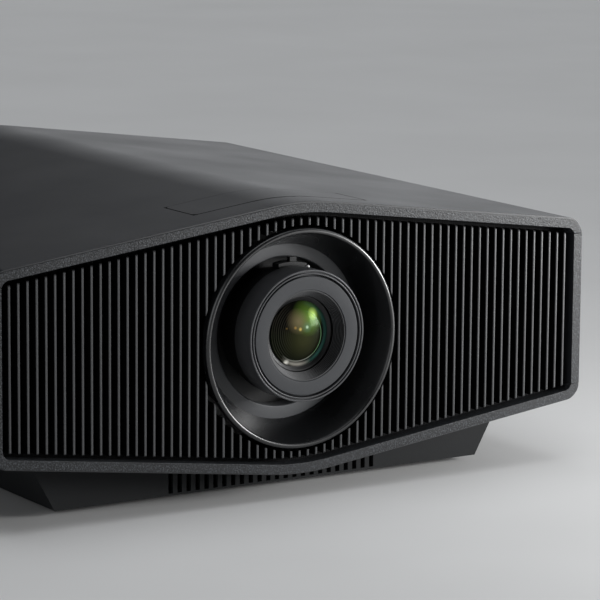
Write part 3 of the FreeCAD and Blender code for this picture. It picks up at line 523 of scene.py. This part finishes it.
def softened(node, width, material, body):
    """The CAD piece with its edges rounded by a width in mm, standing for it."""
    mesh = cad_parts[node].data.copy()
    form = bmesh.new()
    form.from_mesh(mesh)
    bmesh.ops.remove_doubles(form, verts=form.verts, dist=0.002 * MM)
    bmesh.ops.dissolve_limit(form, angle_limit=math.radians(0.5), verts=form.verts, edges=form.edges)
    form.to_mesh(mesh)
    form.free()
    piece = new_piece(f"{node}_moulding", mesh, material)
    bevel = piece.modifiers.new("edges", "BEVEL")
    bevel.width = width * MM
    bevel.segments = 2
    bevel.limit_method = "ANGLE"
    bevel.angle_limit = math.radians(24)
    bevel.use_clamp_overlap = True
    bevel.miter_outer = "MITER_ARC"
    apply_modifiers(piece)
    shade(piece.data, 30)
    weighted = piece.modifiers.new("normals", "WEIGHTED_NORMAL")
    weighted.keep_sharp = True
    weighted.weight = 90
    apply_modifiers(piece)
    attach(piece, body)
    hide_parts(node)
    return piece


def dress(material, *nodes):
    """Gives carried-over CAD pieces a finish."""
    for node in nodes:
        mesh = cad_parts[node].data
        mesh.materials.clear()
        mesh.materials.append(material)


def dress_front(material, *nodes):
    """Gives the faces that look forward at the front of a CAD piece their own finish."""
    border = FRONT + 4 * MM
    for node in nodes:
        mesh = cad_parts[node].data
        mesh.materials.append(material)
        for face in mesh.polygons:
            if face.normal.y < -0.5 and face.center.y < border:
                face.material_index = len(mesh.materials) - 1


# ---------------------------------------------------------------- the object

def dress_casing():
    roof = grained_plastic("roof_plastic", (0.014, 0.015, 0.017), (0.018, 0.019, 0.0215), 0.42, 1500,
                           0.05 * MM)
    band = grained_plastic("band_plastic", (0.008, 0.0087, 0.0098), (0.012, 0.013, 0.0145), 0.40, 1050,
                           0.22 * MM, speckle=3.0, shine=0.32)
    base = grained_plastic("base_plastic", (0.009, 0.0098, 0.0105), (0.012, 0.013, 0.014), 0.55, 1300,
                           0.05 * MM, shine=0.15)
    softened("top_cover", 0.5, roof, "root")
    dress(roof, "lower_case", "left_side_panel", "right_side_panel", "rear_panel")
    dress_front(band, "left_side_panel", "right_side_panel")
    softened("bezel_upper", 0.35, band, "root")
    softened("bezel_lower", 0.35, band, "root")
    softened("lens_shift_lid", 0.12, roof, "lid")
    make_lid_seals(roof)
    softened("base_tray", 0.5, base, "root")
    dress(base, "base_front_grille")
    dress(slat_plastic_painted_shade(), "front_grille")
    dress(perforated_black(), "grille_screen")
    inner = dull_black("inner_black", 0.010, 0.6)
    dress(inner, "dial_well", "fan_housings", "left_fan_rotor", "right_fan_rotor", "terminal_plate")


def roof_height(x):
    """The roof's surface above a place across it: two slopes with a rounded ridge between them."""
    reach = RIDGE_ROUND * math.sin(math.atan(ROOF_SLOPE))
    inner = min(abs(x), reach)
    height = RIDGE_Z - RIDGE_ROUND + math.sqrt(RIDGE_ROUND ** 2 - inner ** 2)
    return height - ROOF_SLOPE * (abs(x) - inner)


def roof_ribbon(form, pairs, lift, thick):
    """A thin ribbon over the roof through pairs of (x, y) edge points, lifted off the surface."""
    rows = []
    for inner, outer in pairs:
        corners = ((inner, lift), (outer, lift), (outer, lift - thick), (inner, lift - thick))
        rows.append([form.verts.new((x, y, roof_height(x) + rise)) for (x, y), rise in corners])
    for here, there in zip(rows, rows[1:]):
        for index in range(4):
            after = (index + 1) % 4
            form.faces.new((here[index], here[after], there[after], there[index]))
    form.faces.new(rows[0])
    form.faces.new(reversed(rows[-1]))


def lid_outline(low, high):
    """Half of the lid's outline in plan with its outward directions: right side, corner, front."""
    corner, turns, strips = 4 * MM, 8, 24
    centre = Vector((high.x - corner, low.y + corner))
    half = [(Vector((high.x, high.y - 1 * MM)), Vector((1, 0)))]
    for step in range(turns + 1):
        turn = math.radians(90 * step / turns)
        normal = Vector((math.cos(turn), -math.sin(turn)))
        half.append((centre + normal * corner, normal))
    for step in range(1, strips):
        half.append((Vector((centre.x * (1 - step / strips), low.y)), Vector((0, -1))))
    return half


def make_lid_seals(roof):
    """Black bead in the front and side gaps of the lid, standing for the shade in those seams as painted
    shade, and a roof-coloured lip behind it.
    """
    low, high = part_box("lens_shift_lid")
    thick, strips = 0.8 * MM, 24

    # Painted shade: a black bead that darkens and widens the lid's seam.
    def seam_shade_bead(form):
        inner, outer, lift = -0.15 * MM, 0.85 * MM, 0.1 * MM
        half = lid_outline(low, high)
        mirrored = [(Vector((-place.x, place.y)), Vector((-way.x, way.y)))
                    for place, way in reversed(half)]
        edges = [(place + way * inner, place + way * outer) for place, way in half + mirrored]
        roof_ribbon(form, edges, lift, thick)

    def lip(form):
        near, far, lift = high.y + 0.02 * MM, high.y + 0.55 * MM, -0.04 * MM
        across = [high.x * step / strips for step in range(-strips, strips + 1)]
        roof_ribbon(form, [((x, near), (x, far)) for x in across], lift, thick)

    for name, build, material in (("lid_seam_shade", seam_shade_bead, dull_black("seam_shade_black", 0.003, 0.9)),
                                  ("lid_rear_lip", lip, roof)):
        piece = new_piece(name, joined_smooth(build), material)
        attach(piece, "root")


def make_recess():
    """Gloss funnel with a rolled rim, from the front of the casing in to the shield ring."""
    front = (FRONT - LENS_TIP) / MM
    shield = (SHIELD_FRONT - LENS_TIP) / MM
    rim = RIM_RADIUS / MM
    slope = (SHIELD_Z - RIM_Z) / (SHIELD_FRONT - FRONT)
    turned("recess_funnel", [
        (front + 0.6, rim - 3.9), (front - 0.9, rim - 3.0), (front - 0.9, rim - 1.2), (front + 0.2, rim),
        (front + 5, rim), (front + 5, rim - 2.6), (shield, 61.2), (shield, 59.0)],
        gloss_black(), "root", ["lens_surround"], radius=0.8, centre=(0, FRONT, RIM_Z), drift=slope)


def make_shield():
    """Satin ring with the hole that the lens moves in."""
    shield = (SHIELD_FRONT - LENS_TIP) / MM
    satin = grained_plastic("shield_plastic", (0.044, 0.046, 0.050), (0.052, 0.055, 0.059), 0.45, 1600,
                            0.03 * MM)
    turned("shield_ring", [
        (shield, 51.2), (shield, 60.8), (shield + 2.2, 60.8), (shield + 2.2, 52.6), (shield + 13, 52.6),
        (shield + 13, 50.6), (shield + 0.6, 50.6)],
        satin, "root", ["light_shield_ring"], radius=0.4, centre=(0, FRONT, SHIELD_Z))


def make_focus_grip():
    """Focus ring with two raised lips and a groove between them in its front edge."""
    turned("focus_grip", [
        (0.1, 41.3), (0, 41.5), (0, 42.0), (0.2, 42.2), (1.9, 42.2), (1.9, 43.1), (0.2, 43.1), (0, 43.3),
        (0, 44.1), (0.3, 44.4), (20, 44.4), (20, 40.05), (5.2, 40.05), (5.2, 41.7), (4.6, 41.3)],
        anodised("ring_metal", 0.050, 0.34), "focus_grip", ["focus_ring"], radius=0.12)


def make_lens_face():
    turned("lens_face", [
        (0.9, 30.7), (0.6, 31), (0.6, 39.7), (0.8, 39.9), (3, 39.9), (3, 41.0), (5, 41.0), (5, 30.7)],
        matte_grey_face(), "lens_carriage", ["lens_front_trim"], radius=0.2)


def make_baffle():
    """Steps that narrow towards the glass."""
    front, back, outside, steps = 1.2, 10, 30.6, 9
    outline = []
    for number in range(steps):
        place, radius = front + BAFFLE_TREAD * number, BAFFLE_RADIUS - BAFFLE_RISE * number
        outline += [(place, radius), (place, radius - BAFFLE_RISE)]
    outline += [(back, 25.7), (back, outside), (front, outside)]
    turned("stepped_baffle", outline, stepped_black(), "lens_carriage", ["lens_baffle"], radius=0.08,
           steps=2)


def make_retainer(metal):
    """Ring that holds the front glass in its cell."""
    turned("front_retainer", [
        (10.2, 24.6), (10.2, 25.5), (14, 25.5), (14, 35.9), (20, 35.9), (20, 22.25), (11.4, 22.25),
        (11.4, 22.6)],
        metal, "focus_cell", ["glass_retainer"], radius=0.15)


def make_highlight_ball():
    # Painted highlight: a white ball where the lever's end catches the light.
    ball = joined_smooth(lambda form: bmesh.ops.create_uvsphere(
        form, u_segments=24, v_segments=16, radius=HIGHLIGHT_BALL_RADIUS, matrix=Matrix.Translation(HIGHLIGHT_BALL_PLACE)))
    index = new_piece("highlight_ball", ball, highlight_white())
    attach(index, "zoom_grip")


def dress_lens():
    dark_metal = anodised("dark_metal", 0.006, 0.42)
    make_recess()
    make_shield()
    make_focus_grip()
    make_lens_face()
    make_baffle()
    make_retainer(dark_metal)
    make_highlight_ball()
    make_glass()
    dress(dark_metal, "lens_barrel", "zoom_lens_cell", "lens_shroud_disc", "zoom_ring")


def make_glass():
    """Front element: a dome inside a sloping edge, with a flat back."""
    curve, dome_reach, reach, hub = 45 * MM, 18.6 * MM, 22.15 * MM, 0.01 * MM
    steps = 24
    apex = LENS_TIP + 5.4 * MM
    outline = []
    for step in range(steps + 1):
        radius = dome_reach * step / steps
        outline.append((apex + curve - math.sqrt(curve ** 2 - radius ** 2), max(radius, hub)))
    edge = outline[-1][0]
    back = edge + 3.0 * MM
    outline += [(edge + 1.3 * MM, reach), (back, reach), (back, hub)]
    mesh = joined_smooth(lambda form: lathe(form, outline, (0, LENS_TIP, LENS_Z)))
    glass = new_piece("front_element", mesh, coated_glass_painted_light())
    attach(glass, "focus_cell")
    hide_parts("front_lens")


def dress_inside():
    cast = cast_metal("cast_alloy", 0.30, 0.45)
    dress(cast, "lens_mount_frame", "vertical_shift_frame", "horizontal_shift_frame", "optical_housing",
          "laser_module", "laser_heatsink", "imaging_panels", "phosphor_wheel")
    steel = bright_metal("ground_steel")
    dress(steel, "vertical_guide_rods", "horizontal_guide_rods", "heat_pipes", "base_screws",
          "left_foot_stud", "right_foot_stud", "joystick_gimbal")
    dress(solder_mask(), "main_board", "power_board")
    dress(clear_glass(), "zoom_lens", "rear_lens", "cross_prism")


def block(form, x, y, z):
    """A box between limits in mm."""
    size = Vector((x[1] - x[0], y[1] - y[0], z[1] - z[0])) * MM
    place = Vector((sum(x), sum(y), sum(z))) * 0.5 * MM
    bmesh.ops.create_cube(form, size=1, matrix=Matrix.Translation(place) @ Matrix.Diagonal((*size, 1)))


def pin(form, y, z, x, radius):
    """A round pin along X that narrows towards -X, in mm."""
    length = x[1] - x[0]
    turn = Matrix.Rotation(math.radians(90), 4, "Y")
    place = Matrix.Translation(Vector((sum(x) * 0.5, y, z)) * MM)
    bmesh.ops.create_cone(form, cap_ends=True, segments=20, radius1=radius * 0.7 * MM,
                          radius2=radius * MM, depth=length * MM, matrix=place @ turn)


def around(centre, half):
    """Limits either side of a centre."""
    return (centre - half, centre + half)


def contact_row(form, x, first, pitch, count, width, z):
    """Equal contacts side by side along Y, in mm."""
    for number in range(count):
        left = first + number * pitch
        block(form, x, (left, left + width), z)


def make_socket_details():
    """Tongues and contacts in the sockets, blades in the mains inlet and rings in the jacks."""
    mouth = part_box("terminal_sockets")[0].x / MM
    inside = (mouth + 3, mouth + 12)
    on_tongue = (mouth + 3.4, mouth + 12)
    # Middle of each socket, mm along Y, and the heights of the row, the jacks and the inlet.
    video_places, network_y, usb_y, serial_y = (-54, -30), -4, 20, 48
    jack_places, inlet_y = (-54, -40, -26), 70
    row_z, jack_z, inlet_z = 84, 108, 104

    def tongues(form):
        for y in video_places:
            block(form, inside, around(y, 5.6), around(row_z, 0.6))
        block(form, inside, around(usb_y, 2.6), around(row_z, 1.4))
        block(form, (mouth + 5, mouth + 13), around(serial_y, 8), around(row_z, 3.5))
        block(form, (mouth + 8, mouth + 13), around(network_y, 5.6), (row_z - 3.8, row_z - 1))

    def contacts(form):
        for y in video_places:
            contact_row(form, on_tongue, y - 4.6, 1.1, 9, 0.5, (row_z + 0.5, row_z + 0.75))
        contact_row(form, (mouth + 2.5, mouth + 12), network_y - 4.4, 1.2, 8, 0.45,
                    (row_z + 2.8, row_z + 3.4))
        for z, count in ((row_z + 1.4, 5), (row_z - 1.4, 4)):
            for number in range(count):
                y = serial_y + 2.76 * (number - (count - 1) / 2)
                pin(form, y, z, (mouth + 2, mouth + 6), 0.5)
        for y in around(usb_y, 1.6):
            block(form, on_tongue, around(y, 0.5), (row_z + 1.3, row_z + 1.6))

    def blades(form):
        for y in (inlet_y - 7, inlet_y, inlet_y + 7):
            block(form, (mouth + 4.4, mouth + 17), around(y, 1.15), around(inlet_z, 2.15))
        for y in jack_places:
            for turn in range(2):
                start = mouth + 0.3 + turn * 3
                pin(form, y, jack_z, (start, start + 0.6), 2.9 - turn)

    black = dull_black("tongue_plastic", 0.012, 0.5)
    gold = bright_metal("gold_contact", (0.80, 0.58, 0.25), 0.22)
    nickel = bright_metal("nickel", (0.60, 0.58, 0.55), 0.22)
    for name, build, material in (("socket_tongues", tongues, black), ("socket_contacts", contacts, gold),
                                  ("inlet_blades", blades, nickel)):
        piece = new_piece(name, joined_smooth(build), material)
        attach(piece, "root")


def dress_controls():
    key = grained_plastic("key_plastic", (0.050, 0.052, 0.058), (0.058, 0.060, 0.066), 0.40, 1600,
                          0.03 * MM)
    dark = grained_plastic("foot_plastic", (0.016, 0.017, 0.019), (0.020, 0.021, 0.023), 0.50, 1100,
                           0.05 * MM)
    for node, body in (("power_button", "power_key"), ("input_button", "input_key"),
                       ("menu_button", "menu_key"), ("joystick_knob", "stick_knob"),
                       ("vertical_shift_dial", "vertical_dial"),
                       ("horizontal_shift_dial", "horizontal_dial")):
        softened(node, 0.3, key, body)
    softened("left_foot_wheel", 0.3, dark, "left_wheel")
    softened("right_foot_wheel", 0.3, dark, "right_wheel")
    dress(dull_black("rubber", 0.012, 0.8), "rear_feet")
    dress(dull_black("socket_plastic", 0.014, 0.5), "power_inlet")
    dress(bright_metal("socket_shell", (0.34, 0.34, 0.35), 0.32), "terminal_sockets")
    make_socket_details()


# ---------------------------------------------------------------- floor and light

def make_stage():
    """Pale matt floor."""
    finish = Finish("floor_paper", Specular_IOR_Level=0.1)
    grain = finish.noise(4, 3.0)
    finish.colour(finish.mix(finish.span(grain, 0, 1), (0.60, 0.60, 0.595), (0.63, 0.63, 0.625)))
    finish.rough(finish.span(grain, 0.75, 0.85))
    form = bmesh.new()
    bmesh.ops.create_grid(form, x_segments=4, y_segments=4, size=9)
    mesh = bpy.data.meshes.new("floor")
    form.to_mesh(mesh)
    form.free()
    floor = new_piece("floor", mesh, finish.material)


def area_light(name, place, aim, size, watts):
    data = bpy.data.lights.new(name, "AREA")
    data.shape = "RECTANGLE"
    data.size, data.size_y = size
    data.energy = watts
    lamp = bpy.data.objects.new(name, data)
    lamp.visible_camera = False
    way = Vector(aim) - Vector(place)
    lamp.matrix_world = Matrix.Translation(place) @ way.to_track_quat("-Z", "Y").to_matrix().to_4x4()
    scene.collection.objects.link(lamp)


def direction(azimuth, elevation):
    """Unit vector; azimuth 0 is +Y and grows towards +X, in degrees."""
    turn, rise = math.radians(azimuth), math.radians(elevation)
    return Vector((math.sin(turn) * math.cos(rise), math.cos(turn) * math.cos(rise), math.sin(rise)))


def sky_patch(tree, way, azimuth, elevation, core, edge, strength):
    """A round soft patch of light, full inside the core angle and nothing beyond the edge."""
    nearness = tree.nodes.new("ShaderNodeVectorMath")
    nearness.operation = "DOT_PRODUCT"
    nearness.inputs[1].default_value = direction(azimuth, elevation)
    tree.links.new(way, nearness.inputs[0])
    fade = tree.nodes.new("ShaderNodeMapRange")
    fade.interpolation_type = "SMOOTHSTEP"
    for socket, number in (("From Min", math.cos(math.radians(edge))),
                           ("From Max", math.cos(math.radians(core))), ("To Min", 0), ("To Max", strength)):
        fade.inputs[socket].default_value = number
    tree.links.new(nearness.outputs["Value"], fade.inputs["Value"])
    return fade.outputs["Result"]


def make_light():
    """The soft patches of sky over a dim ambient light, and the lamps at the right front."""
    world = bpy.data.worlds.new("studio")
    world.use_nodes = True
    tree = world.node_tree
    background = tree.nodes["Background"]
    way = tree.nodes.new("ShaderNodeTexCoord").outputs["Generated"]
    total = tree.nodes.new("ShaderNodeValue").outputs["Value"]
    total.default_value = AMBIENT
    for patch in SKY:
        both = tree.nodes.new("ShaderNodeMath")
        tree.links.new(total, both.inputs[0])
        tree.links.new(sky_patch(tree, way, *patch), both.inputs[1])
        total = both.outputs["Value"]
    tree.links.new(total, background.inputs["Strength"])
    background.inputs["Color"].default_value = (0.95, 0.97, 1.0, 1)
    scene.world = world
    aim = (0.12, FRONT, LENS_Z)
    for number, (place, size, watts) in enumerate(LAMPS):
        area_light(f"lamp_{number}", place, aim, size, watts)
    scene.view_settings.view_transform = "Standard"


make_camera()
dress_casing()
dress_lens()
dress_inside()
dress_controls()
make_stage()
make_light()
